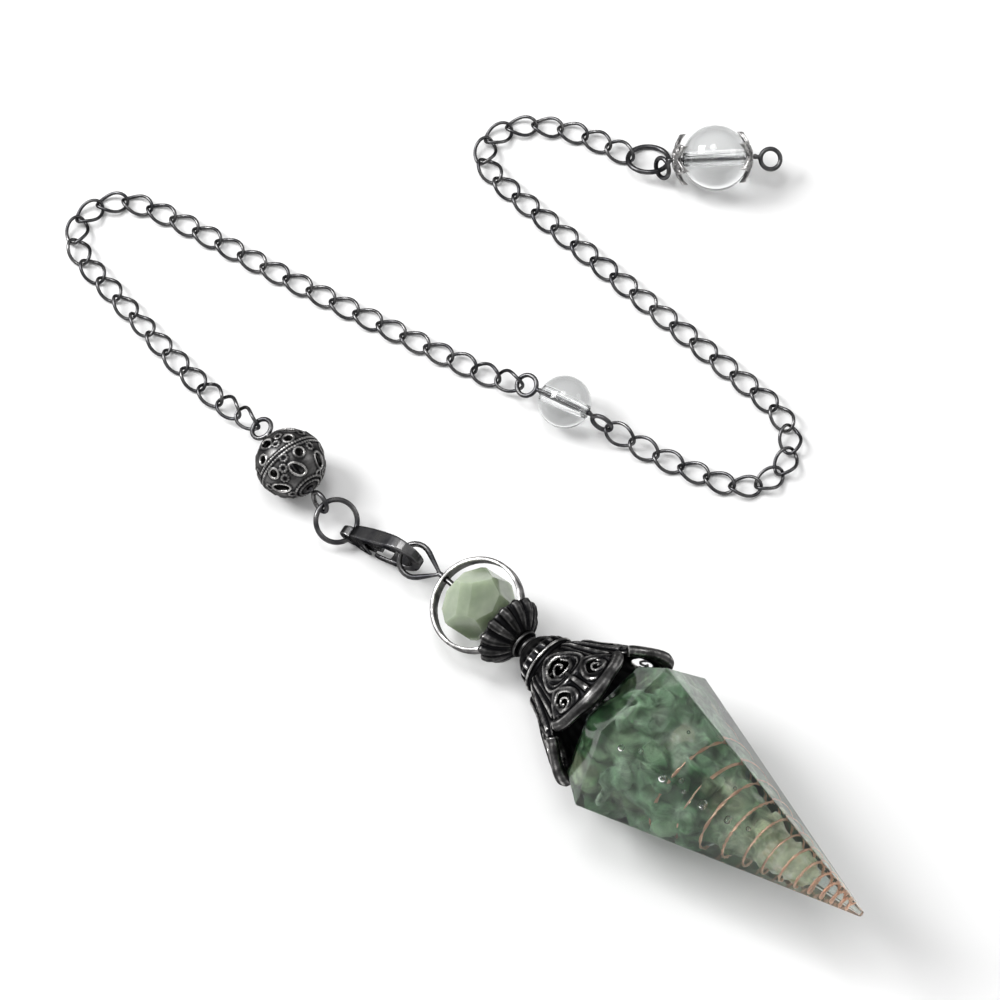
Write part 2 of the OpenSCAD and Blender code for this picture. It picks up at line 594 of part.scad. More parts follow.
module clasp_lever() {
    under = tip_r * 2 - half_width(tip_x) + lever_play;
    end_x = tip_x + 0.75;
    arm = [[pivot.x, pivot.y + 0.95 * lever_root], [end_x - 0.2, under + 0.45], [end_x, under + 0.2],
        [end_x, under], [tip_x - tip_r - 0.15, under - 0.05], [tip_x - tip_r - 0.15, -half_width(tip_x) + 0.25],
        [pivot.x, pivot.y - 0.95 * lever_root]];
    tab = [[pivot.x - 0.8 * lever_root, pivot.y], [pivot.x - 0.7 * lever_root, -cheek_r - 0.1],
        [pivot.x, -cheek_r - 0.15], [pivot.x + 0.4 * lever_root, pivot.y]];
    color(gunmetal) in_clasp() difference() {
        union() {
            translate([pivot.x, pivot.y, 0]) cylinder(r = lever_root, h = lever_t, center = true);
            linear_extrude(height = lever_t, center = true) polygon(arm);
            linear_extrude(height = lever_t, center = true) polygon(tab);
        }
        translate([pivot.x, pivot.y, -lever_t]) cylinder(d = rivet_d + 2 * fit, h = 2 * lever_t);
    }
}

module jump_ring(at, yaw, pitch, roll) {
    put(at, yaw, pitch, roll) rotate_extrude() translate([ring_r, 0]) circle(d = ring_wire);
}
module clasp_ring() { color(gunmetal) jump_ring(clasp_ring_at, ring_yaw, ring_pitch, ring_roll); }
module end_ring() { color(gunmetal) jump_ring(end_ring_at, end_yaw, end_pitch, 0); }

// A hollow ball, pierced with slots near its two poles and round holes beside its seam
slots = 6;
module filigree_bead() {
    hole_d = filigree_d * 0.11;
    color(dark_silver) put(filigree_at, filigree_yaw, 0, 20) difference() {
        rotate([0, 90, 0]) rotate([0, 0, 75]) rotate_extrude() difference() {
            circle(d = filigree_d);
            circle(d = filigree_d - 2 * filigree_wall);
            translate([(wire_d + 0.35) / 2 - filigree_d, -filigree_d]) square([filigree_d, 2 * filigree_d]);
        }
        for (side = [0, 1], k = [0 : slots - 1]) rotate([360 * k / slots, 0, 180 * side]) {
            rotate([0, 0, 16]) rotate([-90, 0, 0]) cylinder(d = hole_d, h = filigree_d);
            rotate([180 / slots, 0, 46]) translate([-hole_d, 0, -hole_d / 2]) cube([2 * hole_d, filigree_d, hole_d]);
        }
    }
}
module filigree_bead_pin() {
    color(gunmetal) bead_pin(filigree_at, filigree_yaw, filigree_neck, filigree_neck,
        [high_yaw, high_pitch, -20], [filigree_yaw, low_pitch, 78]);
}

module clear_bead(at, yaw, d) {
    color(clear_quartz, 0.5) put(at, yaw, 0, 0) rotate([0, 90, 0]) rotate_extrude() difference() {
        circle(d = d);
        translate([bore_d / 2 - d, -d]) square([d, 2 * d]);
    }
}
module small_bead() { clear_bead(small_at, small_yaw, small_d); }
module large_bead() { clear_bead(large_at, large_yaw, large_d); }
module small_bead_pin() {
    color(gunmetal) bead_pin(small_at, small_yaw, small_neck, small_neck, [small_left_yaw, small_left_pitch, -25],
        [small_right_yaw, small_right_pitch, 85]);
}
module large_bead_pin() {
    color(gunmetal) bead_pin(large_at, large_yaw, large_neck + star_slip, large_neck,
        [large_in_yaw, large_in_pitch, -28], [large_out_yaw, large_out_pitch, 27]);
}

// A star cap hugs an end of the large bead; its points are pierced
star_points = 6;
module star_cap(turn, slip) {
    r = star_w / 2;
    inner = large_r + star_gap;
    color("#d9dadd") put(large_at, large_yaw, 0, 0) rotate([0, 0, turn]) translate([slip, 0, 0]) difference() {
        intersection() {
            sphere(r = inner + star_wall);
            rotate([0, 90, 0]) linear_extrude(height = 2 * large_r) polygon([for (k = [0 : 2 * star_points - 1])
                let (a = 180 * k / star_points, reach = k % 2 == 0 ? r : r * 0.62) [reach * cos(a), reach * sin(a)]]);
        }
        sphere(r = inner);
        along_x(0, large_d, wire_d + 0.5);
        for (k = [0 : star_points - 1]) rotate([360 * k / star_points, 0, 0])
            rotate([0, 90 - asin(r * 0.72 / inner), 0]) cylinder(d = r * 0.22, h = large_d);
    }
}
module outer_star_cap() { star_cap(0, 0); }
module inner_star_cap() { star_cap(180, star_slip); }

module lower_chain() {
    first = high_bar - hook_gap * ahead(high_yaw, high_pitch);
    last = small_left_bar - (hook_gap + 0.08) * ahead(small_left_yaw, small_left_pitch);
    color(gunmetal) chain(concat([first], on_table(lower_stops), [last]), lower_turned);
}
module upper_chain() {
    first = small_right_bar - hook_gap * ahead(small_right_yaw, small_right_pitch);
    color(gunmetal) chain(concat([first], on_table(upper_stops), [end_link]), upper_turned);
}

resin_point();
copper_coil();
stone_chips();
filigree_cap();
neck_spool();
fluted_cup();
hoop_ring();
faceted_bead();
pendant_eye_pin();
clasp_body();
clasp_rivet();
clasp_lever();
clasp_ring();
filigree_bead();
filigree_bead_pin();
lower_chain();
small_bead();
small_bead_pin();
upper_chain();
end_ring();
large_bead();
inner_star_cap();
outer_star_cap();
large_bead_pin();
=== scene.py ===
import math
import random

import bpy
from mathutils import Matrix, Vector, kdtree, noise


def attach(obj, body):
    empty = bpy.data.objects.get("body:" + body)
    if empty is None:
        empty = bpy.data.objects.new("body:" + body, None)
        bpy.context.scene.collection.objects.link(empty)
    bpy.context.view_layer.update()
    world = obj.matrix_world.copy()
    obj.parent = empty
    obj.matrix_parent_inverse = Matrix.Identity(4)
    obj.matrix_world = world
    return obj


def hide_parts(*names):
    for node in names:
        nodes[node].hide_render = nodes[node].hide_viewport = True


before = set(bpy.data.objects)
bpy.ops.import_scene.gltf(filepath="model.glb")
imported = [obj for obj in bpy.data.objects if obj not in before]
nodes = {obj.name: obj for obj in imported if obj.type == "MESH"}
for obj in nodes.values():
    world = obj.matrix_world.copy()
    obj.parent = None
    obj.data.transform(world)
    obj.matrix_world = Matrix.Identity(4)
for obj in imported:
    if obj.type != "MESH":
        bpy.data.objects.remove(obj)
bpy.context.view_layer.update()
mm = 0.001

# The pendulum is seen from high in front, a little over 60 degrees above the table that it lies on.
# The lens is long, so the far end of the chain is hardly smaller than the point.
camera_at, looked_at = (0.0069, -0.2072, 0.41075), (0.0069, 0.00205, 0)
bpy.ops.object.select_all(action="DESELECT")
bpy.ops.object.camera_add(location=camera_at)
camera = bpy.context.object
camera.data.sensor_width = 36
camera.data.lens = 144
camera.data.clip_start = 0.01
aim = Vector(looked_at) - camera.location
camera.rotation_euler = aim.to_track_quat("-Z", "Y").to_euler()
bpy.context.scene.camera = camera


# The pendulum lies on a wide sheet of matt white card, which carries only its soft shadows. The card is
# part of the stage and not of the model.
def new_finish(name):
    """A new material, with its nodes and its shader."""
    finish = bpy.data.materials.new(name)
    finish.use_nodes = True
    return finish, finish.node_tree, finish.node_tree.nodes["Principled BSDF"]


card_side, card_white = 6, 0.8
bpy.ops.mesh.primitive_plane_add(size=card_side, location=(0, 0, 0))
table = bpy.context.object
table.name = "table"
card, tree, shader = new_finish("white_card")
shader.inputs["Base Color"].default_value = (card_white, card_white, card_white, 1)
shader.inputs["Roughness"].default_value = 0.9
shader.inputs["Specular IOR Level"].default_value = 0.1
table.data.materials.append(card)


# The main light is a softbox behind on the left, with a weaker one above and a faint one on the right.
# The room is dim near the table and bright overhead, so that the metal keeps its dark parts.
def shaded(tree, source, *stops):
    """Colours laid over a value, from pairs of a place and a colour."""
    ramp = tree.nodes.new("ShaderNodeValToRGB")
    first, last = ramp.color_ramp.elements
    first.position, last.position = stops[0][0], stops[-1][0]
    first.color, last.color = (*stops[0][1], 1), (*stops[-1][1], 1)
    for at, colour in stops[1:-1]:
        ramp.color_ramp.elements.new(at).color = (*colour, 1)
    tree.links.new(source, ramp.inputs["Fac"])
    return ramp.outputs["Color"]


room = bpy.data.worlds.new("studio")
room.use_nodes = True
sky = room.node_tree
height = sky.nodes.new("ShaderNodeTexCoord")
split = sky.nodes.new("ShaderNodeSeparateXYZ")
sky.links.new(height.outputs["Generated"], split.inputs["Vector"])
walls = shaded(sky, split.outputs["Z"], (0.1, (0.1, 0.1, 0.1)), (0.75, (1, 1, 1)))
sky.links.new(walls, sky.nodes["Background"].inputs["Color"])
sky.nodes["Background"].inputs["Strength"].default_value = 0.66
bpy.context.scene.world = room
bpy.context.scene.view_settings.view_transform = "Standard"
for name, place, size, watts in (
    ("key_box", (-0.50, 0.16, 0.47), 0.32, 5.2),
    ("top_box", (-0.10, 0.16, 0.80), 0.30, 1.8),
    ("right_box", (0.60, 0.10, 0.35), 0.25, 0.5),
):
    bpy.ops.object.light_add(type="AREA", location=place)
    box = bpy.context.object
    box.name = name
    box.data.size = size
    box.data.energy = watts
    box.rotation_euler = (Vector((0, 0, 0)) - Vector(place)).to_track_quat("-Z", "Y").to_euler()


# The resin point is a six-sided crystal shape, cast in clear resin and polished: a flat top, a short
# shoulder, a girdle and six long faces down to a blunted tip. It lies on one of its long faces.
def lying(at, yaw, pitch, roll=0):
    """The place of a piece modelled along the x axis, with at in mm and the angles in degrees."""
    turn = Matrix.Rotation(math.radians(yaw), 4, "Z") @ Matrix.Rotation(math.radians(-pitch), 4, "Y")
    return Matrix.Translation(Vector(at) * mm) @ turn @ Matrix.Rotation(math.radians(roll), 4, "X")


def settle(piece, place):
    """Puts a piece that is modelled at the origin in its place, with the place kept in its mesh."""
    piece.data.transform(place)
    piece.matrix_world = Matrix.Identity(4)


point_yaw, point_tilt, girdle_at = -43.8, 8.147, (22.3, -32.1, 8.9586)
point_place = lying(girdle_at, point_yaw, point_tilt)
top_r, shoulder_len, point_r, flat_r = 8.1, 3.5, 10.45, 9.05
point_len, tip_r, polished_edge = 32.1, 0.35, 0.12
bpy.ops.object.select_all(action="DESELECT")
bpy.ops.mesh.primitive_circle_add(vertices=6, radius=top_r * mm, fill_type="NGON", location=(0, 0, 0))
resin = bpy.context.object
resin.name = "resin_body"
bpy.ops.object.mode_set(mode="EDIT")
bpy.ops.mesh.select_all(action="SELECT")
for rise, grow in ((shoulder_len, point_r / top_r), (point_len, tip_r / point_r)):
    bpy.ops.mesh.extrude_region_move(TRANSFORM_OT_translate={"value": (0, 0, rise * mm)})
    bpy.ops.transform.resize(value=(grow, grow, 1))
bpy.ops.mesh.select_all(action="SELECT")
bpy.ops.mesh.normals_make_consistent(inside=False)
bpy.ops.object.mode_set(mode="OBJECT")
resin.data.transform(Matrix.Translation((0, 0, -shoulder_len * mm)))
resin.data.transform(Matrix.Rotation(math.radians(90), 4, "Y"))
edge = resin.modifiers.new("edge", "BEVEL")
edge.width = polished_edge * mm
edge.segments = 2
bpy.ops.object.modifier_apply(modifier="edge")
settle(resin, point_place)
cast, tree, shader = new_finish("clear_green_resin")
shader.inputs["Base Color"].default_value = (0.93, 0.98, 0.95, 1)
shader.inputs["Roughness"].default_value = 0.02
shader.inputs["IOR"].default_value = 1.5
shader.inputs["Transmission Weight"].default_value = 1
tint = tree.nodes.new("ShaderNodeVolumeAbsorption")
tint.inputs["Color"].default_value = (0.55, 0.86, 0.68, 1)
tint.inputs["Density"].default_value = 40
haze = tree.nodes.new("ShaderNodeVolumeScatter")
haze.inputs["Color"].default_value = (0.93, 0.98, 0.95, 1)
haze.inputs["Density"].default_value = 60
body = tree.nodes.new("ShaderNodeAddShader")
tree.links.new(tint.outputs["Volume"], body.inputs[0])
tree.links.new(haze.outputs["Volume"], body.inputs[1])
tree.links.new(body.outputs["Shader"], tree.nodes["Material Output"].inputs["Volume"])
resin.data.materials.append(cast)
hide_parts("resin_point")
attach(resin, "pendulum")


# A copper wire, twisted from two strands, is wound to a cone in the point before the resin is poured.
# Its turns stand apart at the wide end and crowd together at the tip.
def pick(piece):
    """Makes a piece the active one, and the only one that is selected."""
    bpy.ops.object.select_all(action="DESELECT")
    piece.select_set(True)
    bpy.context.view_layer.objects.active = piece


def swept(name, line):
    """A curve with a round section, made a mesh."""
    bar = bpy.data.objects.new(name, line)
    bpy.context.collection.objects.link(bar)
    pick(bar)
    bpy.ops.object.convert(target="MESH")
    return bpy.context.object


def speckles(tree, scale, detail=2):
    """A noise pattern in the piece's own coordinates."""
    where = tree.nodes.new("ShaderNodeTexCoord")
    pattern = tree.nodes.new("ShaderNodeTexNoise")
    pattern.inputs["Scale"].default_value = scale
    pattern.inputs["Detail"].default_value = detail
    tree.links.new(where.outputs["Object"], pattern.inputs["Vector"])
    return pattern


coil_wire, coil_turns, coil_len, coil_start, coil_even = 0.42, 13, 26.6, 0.045 * point_len, 0.3
coil_gap, gap_from_tip, turn_steps, strand_twist = 1.6, 25, 48, 0.9
strand_r = coil_wire / 4
coil_slope = flat_r / point_len * (1 - coil_gap / (flat_r * gap_from_tip / point_len))
strands = bpy.data.curves.new("copper_wire", "CURVE")
strands.dimensions = "3D"
strands.bevel_depth = strand_r * mm
strands.bevel_resolution = 1
steps = coil_turns * turn_steps
for side in (0, math.pi):
    points = []
    for i in range(steps + 1):
        t = i / steps
        back = coil_start + (coil_len - coil_start) * (coil_even * t + (1 - coil_even) * t * t)
        a = 2 * math.pi * coil_turns * t
        twist = side + a * back * strand_twist
        r = coil_slope * back + strand_r * math.cos(twist)
        points.append((point_len - back + strand_r * math.sin(twist), r * math.cos(a), r * math.sin(a)))
    spline = strands.splines.new("POLY")
    spline.points.add(len(points) - 1)
    for spot, p in zip(spline.points, points):
        spot.co = (p[0] * mm, p[1] * mm, p[2] * mm, 1)
coil = swept("copper_winding", strands)
settle(coil, point_place)
bpy.ops.object.shade_smooth()
copper, tree, shader = new_finish("copper")
shader.inputs["Metallic"].default_value = 1
shader.inputs["Roughness"].default_value = 0.28
spots = speckles(tree, scale=900).outputs["Fac"]
shade = shaded(tree, spots, (0, (0.9, 0.45, 0.3)), (1, (1, 0.76, 0.6)))
tree.links.new(shade, shader.inputs["Base Color"])
coil.data.materials.append(copper)
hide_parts("copper_coil")
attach(coil, "pendulum")


# Broken green quartz fills the point from its top to near the tip, inside the coil and, on the left,
# outside it too. The chips are rough, and run from almost white to nearly black green. The resin is
# poured over them, and a few bubbles of air stay under the upper face.
def joined(pieces):
    """Joins pieces into the first of them."""
    pick(pieces[0])
    for piece in pieces[1:]:
        piece.select_set(True)
    bpy.ops.object.join()
    return bpy.context.object


def soften(piece, rounds):
    """Smooths the shape of the active piece."""
    soft = piece.modifiers.new("soft", "SMOOTH")
    soft.factor = 0.5
    soft.iterations = rounds
    bpy.ops.object.modifier_apply(modifier="soft")


def recast(piece, grain, rounds):
    """Fuses a piece into one skin, as in a mould, and softens its edges."""
    pick(piece)
    fuse = piece.modifiers.new("fuse", "REMESH")
    fuse.mode = "VOXEL"
    fuse.voxel_size = grain
    fuse.use_smooth_shade = True
    bpy.ops.object.modifier_apply(modifier="fuse")
    if rounds:
        soften(piece, rounds)


def between(value, start, end):
    """How far a value has come from the start of a range to its end, from 0 to 1."""
    return min(1, max(0, (value - start) / (end - start)))


def spread(tree, source, before, after):
    """A value stretched from one range to another."""
    stretch = tree.nodes.new("ShaderNodeMapRange")
    stretch.inputs["From Min"].default_value, stretch.inputs["From Max"].default_value = before
    stretch.inputs["To Min"].default_value, stretch.inputs["To Max"].default_value = after
    tree.links.new(source, stretch.inputs["Value"])
    return stretch.outputs["Result"]


def face_at(x):
    """How far the long faces stand from the point's axis, x mm from the girdle towards the tip."""
    return flat_r * (1 - x / point_len)


def coil_at(x):
    """How far the coil stands from the point's axis there."""
    return coil_slope * (point_len - x)


chip_count, chip_kinds, crowding, chip_grain = 420, 6, 0.62, 0.28
chips_end, chips_span, shoulder_room, shoulder_slope = 26, 28.6, 8.2, 0.583
core_r, core_tip_r, core_len, core_middle = 5.9, 0.75, 27.5, 11.25
chips_low, chips_high, face_gap, coil_clear = -3.1, 26.5, 0.45, 0.3
coil_from, left_until = 3, 12                # where the coil starts to hold the chips in, and on the left
patch_x, patch_y, patch_dark = 11.3, -1.7, 1.6

# A few rough rocks are made once, and copies of them are strewn in the point, smaller towards the tip.
rng = random.Random(7)
shapes = []
for k in range(chip_kinds):
    bpy.ops.mesh.primitive_ico_sphere_add(subdivisions=1, radius=1, location=(0, 0, 0))
    rock = bpy.context.object
    for v in rock.data.vertices:
        v.co *= 0.7 + 0.6 * rng.random()
    chipped = rock.modifiers.new("chipped", "BEVEL")
    chipped.width = 0.07
    chipped.segments = 1
    bpy.ops.object.modifier_apply(modifier="chipped")
    shapes.append(rock)
chips, tones = [], []
while len(chips) < chip_count:
    x = chips_end - chips_span * rng.random() ** crowding
    limit = (face_at(x) if x > 0 else shoulder_room) - (1.5 if x < 13 else 0.9)
    a = rng.uniform(0, 2 * math.pi)
    r = limit * math.sqrt(rng.random())
    y, z = r * math.cos(a), r * math.sin(a)
    free = x < coil_from or (y < 0 and x < left_until)
    if not free and r > coil_at(x) - (1.1 if x < 18 else 0.55):
        continue
    size = rng.uniform(1.2, 2.4) * (1 if x < 12 else 0.62 if x < 19 else 0.36)
    piece = rng.choice(shapes).copy()
    piece.data = piece.data.copy()
    bpy.context.collection.objects.link(piece)
    angle = rng.uniform(0, 6.28)
    axis = Vector((rng.random() - 0.5, rng.random() - 0.5, rng.random() - 0.5))
    stretch = Matrix.Diagonal((size * rng.uniform(0.9, 1.3), size, size * rng.uniform(0.35, 0.8), 1))
    settle(piece, Matrix.Translation((x, y, z)) @ Matrix.Rotation(angle, 4, axis) @ stretch)

    # Pale chips lie together in places, and at the middle and the tip. By the shoulder they are darker.
    tone = 0.75 * rng.random() + 0.35 * (0.5 + 0.8 * noise.noise(Vector((x, y, z)) * 0.16))
    tone += 0.5 * math.exp(-((x - 5) ** 2 + (y - 1.5) ** 2) / 10) + 0.3 * max(0, (x - 14) / 10)
    tone -= 0.3 * between(x, 2.2, -0.8)
    warm = 0.5 * between(x, 11, 21) + 0.6 * max(0, noise.noise(Vector((x + 40, y, z)) * 0.22))
    tones.append((Vector((x, y, z)), tone, warm))
    chips.append(piece)

# A core closes the gaps behind the chips, and all of it is fused to one skin.
bpy.ops.mesh.primitive_cone_add(
    vertices=24, radius1=core_r, radius2=core_tip_r, depth=core_len, location=(0, 0, 0))
core = bpy.context.object
core.data.transform(Matrix.Translation((core_middle, 0, 0)) @ Matrix.Rotation(math.pi / 2, 4, "Y"))
for rock in shapes:
    bpy.data.objects.remove(rock)
chips = joined([*chips, core])
chips.name = "quartz_chips"
recast(chips, chip_grain, 4)

# What sticks out of the faces, or out of the coil where that holds the chips, is drawn in.
mesh = chips.data
for v in mesh.vertices:
    x, y, z = v.co
    x = min(max(x, chips_low), chips_high)
    across = max(y * math.sin(k * math.pi / 3) + z * math.cos(k * math.pi / 3) for k in range(6))
    face = face_at(x) if x > 0 else flat_r + x * shoulder_slope
    fit_in = min(1, (face - face_gap) / max(across, 0.01))
    within = (coil_at(x) - coil_clear + 2.5 * between(x, coil_from, 1.5)
              + 1.6 * max(0, min(1, -0.8 * y)) * (x < left_until))
    fit_in = min(fit_in, within / max(math.hypot(y, z), 0.01))
    v.co = (x, y * fit_in, z * fit_in)

# Each place on the skin takes its colour from the nearest chips, and one patch is nearly black.
nearest = kdtree.KDTree(len(tones))
for i, (spot, tone, warm) in enumerate(tones):
    nearest.insert(spot, i)
nearest.balance()
found = [[(tones[i], d ** -7) for spot, i, d in nearest.find_n(v.co, 4)] for v in mesh.vertices]
for name, part in (("tone", 1), ("warm", 2)):
    for spot, near, v in zip(mesh.attributes.new(name, "FLOAT", "POINT").data, found, mesh.vertices):
        spot.value = sum(t[part] * w for t, w in near) / sum(w for t, w in near)
        if name == "tone":
            far = (v.co.x - patch_x) ** 2 / 4 + (v.co.y - patch_y) ** 2 / 2
            spot.value -= patch_dark * math.exp(-far)
settle(chips, point_place @ Matrix.Scale(mm, 4))
quartz, tree, shader = new_finish("green_quartz")
shader.inputs["Roughness"].default_value = 0.6
shader.inputs["Specular IOR Level"].default_value = 0.15
shader.inputs["Subsurface Weight"].default_value = 1
shader.inputs["Subsurface Radius"].default_value = (0.8, 1.0, 0.85)
shader.inputs["Subsurface Scale"].default_value = 0.002
own_tone = tree.nodes.new("ShaderNodeAttribute")
own_tone.attribute_name = "tone"
hue = shaded(
    tree, own_tone.outputs["Fac"], (0, (0.04, 0.1, 0.045)), (0.25, (0.14, 0.26, 0.145)),
    (0.5, (0.24, 0.37, 0.24)), (0.8, (0.42, 0.51, 0.4)), (1, (0.66, 0.68, 0.56)))
own_warmth = tree.nodes.new("ShaderNodeAttribute")
own_warmth.attribute_name = "warm"
tan = tree.nodes.new("ShaderNodeMix")
tan.data_type = "RGBA"
tan.inputs["B"].default_value = (0.66, 0.61, 0.46, 1)
cloud = speckles(tree, scale=420, detail=8)
cloud.inputs["Roughness"].default_value = 0.62
cloud.inputs["Distortion"].default_value = 0.8
blend = tree.nodes.new("ShaderNodeMix")
blend.data_type = "RGBA"
blend.blend_type = "OVERLAY"
blend.inputs["Factor"].default_value = 0.8
tree.links.new(own_warmth.outputs["Fac"], tan.inputs["Factor"])
tree.links.new(hue, tan.inputs["A"])
tree.links.new(tan.outputs["Result"], blend.inputs["A"])
tree.links.new(spread(tree, cloud.outputs["Fac"], (0.3, 0.72), (0, 1)), blend.inputs["B"])
tree.links.new(blend.outputs["Result"], shader.inputs["Base Color"])
chips.data.materials.append(quartz)
air, tree, shader = new_finish("air_bubbles")
shader.inputs["Roughness"].default_value = 0
shader.inputs["IOR"].default_value = 0.667
shader.inputs["Transmission Weight"].default_value = 1
bubble_skin = 0.12
bubbles = []
for x, y, r in (                             # along the point, across it, radius
    (7.6, -4.1, 0.45), (12.4, -3.1, 0.55), (15.4, -2.4, 0.4), (4.1, -3.6, 0.3), (9.2, -2.9, 0.35),
    (2.4, -4.8, 0.4), (17.6, -1.7, 0.3), (6.2, 1.6, 0.22), (13.7, 0.6, 0.2), (10.2, -3.6, 0.25),
):
    bpy.ops.mesh.primitive_ico_sphere_add(subdivisions=3, radius=r, location=(0, 0, 0))
    bubble = bpy.context.object
    bpy.ops.object.shade_smooth()
    bubble.data.materials.append(air)
    high = face_at(x) - r - bubble_skin
    settle(bubble, point_place @ Matrix.Scale(mm, 4) @ Matrix.Translation((x, y, high)))
    bubbles.append(bubble)
chips = joined([chips, *bubbles])
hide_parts("stone_chips")
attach(chips, "pendulum")


# The cap is one casting of oxidised silver-coloured metal: a collar with four petals that flare over the
# top of the point. Each petal has three pierced scrolls edged with twisted wire, and a fat rolled lip.
def part_copy(name, source):
    """A merged copy of a CAD node as a new piece, selected and active."""
    piece = nodes[source].copy()
    piece.data = piece.data.copy()
    piece.modifiers.clear()
    piece.data.materials.clear()
    bpy.context.collection.objects.link(piece)
    piece.parent = None
    piece.hide_render = False
    piece.hide_viewport = False
    piece.matrix_world = Matrix.Identity(4)
    for key in list(piece.keys()):
        del piece[key]
    piece.name = name
    pick(piece)
    bpy.ops.object.mode_set(mode="EDIT")
    bpy.ops.mesh.select_all(action="SELECT")
    bpy.ops.mesh.remove_doubles(threshold=1e-6)
    bpy.ops.object.mode_set(mode="OBJECT")
    return piece


def relief(piece, rounds):
    """Keeps on each vertex how far it stands above the smoothed shape round it, in mm."""
    flat = piece.copy()
    flat.data = piece.data.copy()
    bpy.context.collection.objects.link(flat)
    pick(flat)
    soften(flat, rounds)
    raised = piece.data.attributes.new("relief", "FLOAT", "POINT")
    for spot, v, w in zip(raised.data, piece.data.vertices, flat.data.vertices):
        spot.value = (v.co - w.co).dot(v.normal) / mm
    bpy.data.objects.remove(flat)


def product(tree, a, b):
    """Two values multiplied, and kept between 0 and 1."""
    both = tree.nodes.new("ShaderNodeMath")
    both.operation = "MULTIPLY"
    both.use_clamp = True
    tree.links.new(a, both.inputs[0])
    tree.links.new(b, both.inputs[1])
    return both.outputs["Value"]


def pitted(tree, source, shader, strength, depth):
    """Fine pits in a surface where a pattern is low, at most depth mm deep."""
    pits = tree.nodes.new("ShaderNodeBump")
    pits.inputs["Strength"].default_value = strength
    pits.inputs["Distance"].default_value = depth * mm
    tree.links.new(source, pits.inputs["Height"])
    tree.links.new(pits.outputs["Normal"], shader.inputs["Normal"])


def patina_and_painted_shade_metal(name, deep, middle, bright, low, high, near=0.8):
    """Raised places bright, hollows near black: wear and patina on blackened castings, painted shade on
    plating.

    The reliefs low and high and the width near of a hollow are in mm.
    """
    metal, tree, shader = new_finish(name)
    shader.inputs["Metallic"].default_value = 1
    shader.inputs["Specular Tint"].default_value = (0.4, 0.4, 0.4, 1)
    grime = speckles(tree, scale=700, detail=6).outputs["Fac"]
    raised = tree.nodes.new("ShaderNodeAttribute")
    raised.attribute_name = "relief"
    relief_share = spread(tree, raised.outputs["Fac"], (low, high), (0, 1))
    # The occlusion darkens the hollows: patina on the blackened castings, painted shade on the bright
    # plating.
    hollow = tree.nodes.new("ShaderNodeAmbientOcclusion")
    hollow.inputs["Distance"].default_value = near * mm
    hollow.samples = 4
    bright_after_patina_and_shade = product(tree, relief_share, hollow.outputs["AO"])
    total = product(tree, bright_after_patina_and_shade, spread(tree, grime, (0.36, 0.6), (0.3, 1.1)))
    shade = shaded(
        tree, total, (0, (deep, deep, deep * 1.1)), (0.4, (middle, middle * 0.98, middle * 0.97)),
        (1, (bright, bright * 0.985, bright * 0.96)))
    tree.links.new(shade, shader.inputs["Base Color"])
    tree.links.new(spread(tree, total, (0, 1), (0.45, 0.2)), shader.inputs["Roughness"])
    pitted(tree, grime, shader, strength=0.35, depth=0.05)
    return metal


def round_steps(count):
    """Angles at even steps, once round."""
    return [2 * math.pi * i / count for i in range(count)]


def rod(points, radii, closed=False):
    """A round bar along a line of points in mm, of one radius or of one for each point."""
    if isinstance(radii, float):
        radii = [radii] * len(points)
    line = bpy.data.curves.new("rod", "CURVE")
    line.dimensions = "3D"
    line.bevel_depth = mm
    line.bevel_resolution = 2
    line.use_fill_caps = True
    spline = line.splines.new("POLY")
    spline.points.add(len(points) - 1)
    for spot, p, r in zip(spline.points, points, radii):
        spot.co = (*(p * mm), 1)
        spot.radius = r
    spline.use_cyclic_u = closed
    return swept("rod", line)


def beaded(points, size, closed=True):
    """A row of grains along a line of points in mm, each touching the next."""
    ends = points + points[:1] if closed else points
    row, left = [], 0.0
    for a, b in zip(ends, ends[1:]):
        gap = (b - a).length
        while left < gap:
            row.append(a.lerp(b, left / gap))
            left += size * 0.92
        left -= gap
    bpy.ops.mesh.primitive_ico_sphere_add(subdivisions=2, radius=size / 2 * mm, location=(0, 0, 0))
    first = bpy.context.object
    grains = []
    for p in row:
        grain = first.copy()
        grain.data = first.data.copy()
        grain.data.transform(Matrix.Translation(p * mm))
        bpy.context.collection.objects.link(grain)
        grains.append(grain)
    bpy.data.objects.remove(first)
    return joined(grains)


def keep_above(piece, gap=0):
    """Flattens what would sink into the table, so that it ends gap mm above it."""
    for v in piece.data.vertices:
        v.co.z = max(v.co.z, gap * mm)


stack_lean, cap_gap, notch = 1.6, 0.15, 0.3
cap_len, lip_r, cap_roll, collar_r, collar_len, collar_seat = 10.1, 8.6, 15, 3.5, 3.2, 0.2
stack_yaw = point_yaw - stack_lean
cap_base = shoulder_len + cap_gap + lip_r * math.sin(math.radians(stack_lean))
collar_x = cap_base + cap_len
cap_place = lying(girdle_at, stack_yaw, point_tilt, cap_roll)
table_r = 7.87                               # the cap reaches no farther down from its axis
outline = ((0, 0.37), (0.16, 0.53), (0.36, 0.65), (0.6, 0.81), (0.82, 0.96), (1, 1))
scrolls = (                                  # along the petal, degrees off its middle, length, width
    (0.33, 0, 0.48, 0.46), (0.71, 21, 0.39, 0.36), (0.71, -21, 0.39, 0.36))
rim_r, curl_r, grain_size, rim_steps, curl_steps = 0.3, 0.15, 0.38, 28, 30
lip_steps, lip_spread, spine_steps, edge_steps = 24, 78, 10, 12
collar_grooves, groove_steps = 18, 6


def petal_r(u):
    """The cap's radius a share u of the way from the collar to the lip."""
    for (a, ra), (b, rb) in zip(outline, outline[1:]):
        if u <= b:
            return lip_r * (ra + (rb - ra) * (u - a) / (b - a))
    return lip_r


